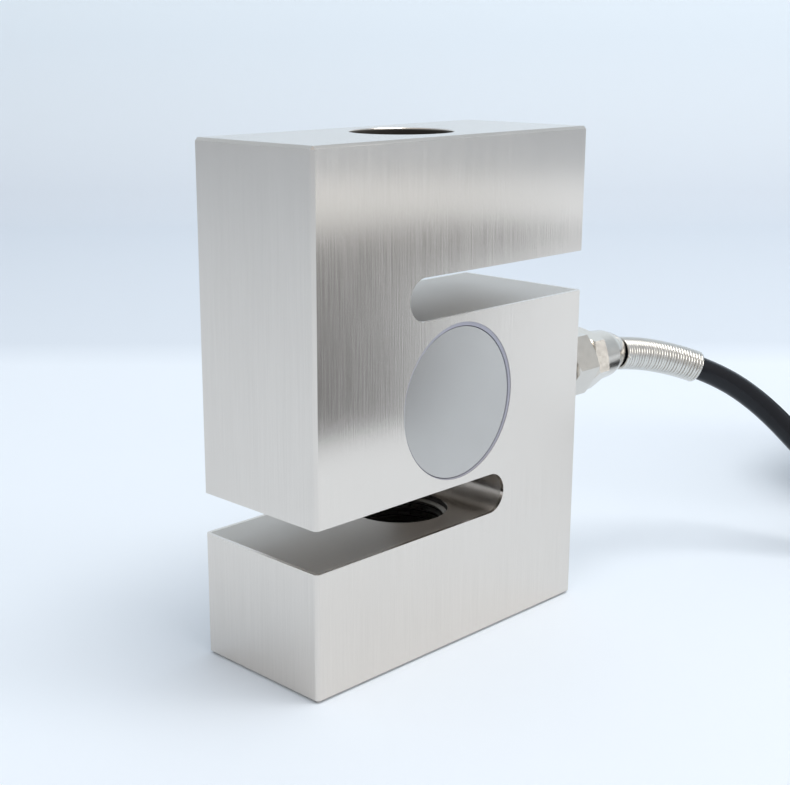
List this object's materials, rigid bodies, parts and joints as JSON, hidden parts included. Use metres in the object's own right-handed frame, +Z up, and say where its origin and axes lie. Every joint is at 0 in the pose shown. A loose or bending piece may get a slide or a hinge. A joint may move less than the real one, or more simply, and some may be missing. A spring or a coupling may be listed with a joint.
{
  "type": "s type load cell",
  "caption": "Steel S type load cell with a threaded hole in each end face, gauge pockets under round covers, a cable gland with a relief spring, and a coiled four-core screened cable.",
  "frame": {"origin": "on the load axis, at the mouth of the lower threaded hole, in the bottom face", "axes": "+Z up along the load axis, +X towards the end with the cable gland, -Y towards the front cover"},
  "size_m": [0.2533, 0.0769, 0.1016],
  "materials": {
    "body_steel": "ground, with fine brush marks",
    "cover_steel": "fine satin",
    "nickel": "nickel plated, bright",
    "spring_steel": "bright drawn wire",
    "jacket_black": "smooth jacket",
    "tie_black": "moulded",
    "sealant_grey": "cured sealant",
    "coating_clear": "cured silicone",
    "gauge_foil": "foil on film",
    "board_green": "solder mask",
    "solder": "tinned",
    "resistor_beige": "lacquered",
    "copper": "bare wire",
    "seal_rubber": "moulded",
    "lead_red": "smooth insulation",
    "lead_black": "smooth insulation",
    "lead_green": "smooth insulation",
    "lead_white": "smooth insulation",
    "lead_yellow": "smooth insulation"
  },
  "bodies": {
    "root": {"load_body": "body_steel", "front_cover": "cover_steel", "rear_cover": "cover_steel", "front_sealant": "sealant_grey", "rear_sealant": "sealant_grey", "front_gauges": "gauge_foil", "rear_gauges": "gauge_foil", "front_coating": "coating_clear", "rear_coating": "coating_clear", "front_board": "board_green", "rear_board": "board_green", "terminal_pads": "solder", "trim_resistors": "resistor_beige", "gauge_jumpers": "copper", "bridge_ribbon": "copper", "inner_lead_red": "lead_red", "inner_lead_black": "lead_black", "inner_lead_green": "lead_green", "inner_lead_white": "lead_white", "gland_washer": "seal_rubber", "gland_body": "nickel", "cable_seal": "seal_rubber", "slip_washer": "nickel", "gland_nut": "nickel", "relief_spring": "spring_steel", "cable_root": "jacket_black", "cable_run": "jacket_black", "cable_coil": "jacket_black", "coil_tie": "tie_black", "cable_tail": "jacket_black", "end_sleeve": "tie_black", "lead_red": "lead_red", "lead_black": "lead_black", "lead_green": "lead_green", "lead_white": "lead_white", "lead_shield": "lead_yellow", "lead_tips": "solder"}
  },
  "joints": []
}
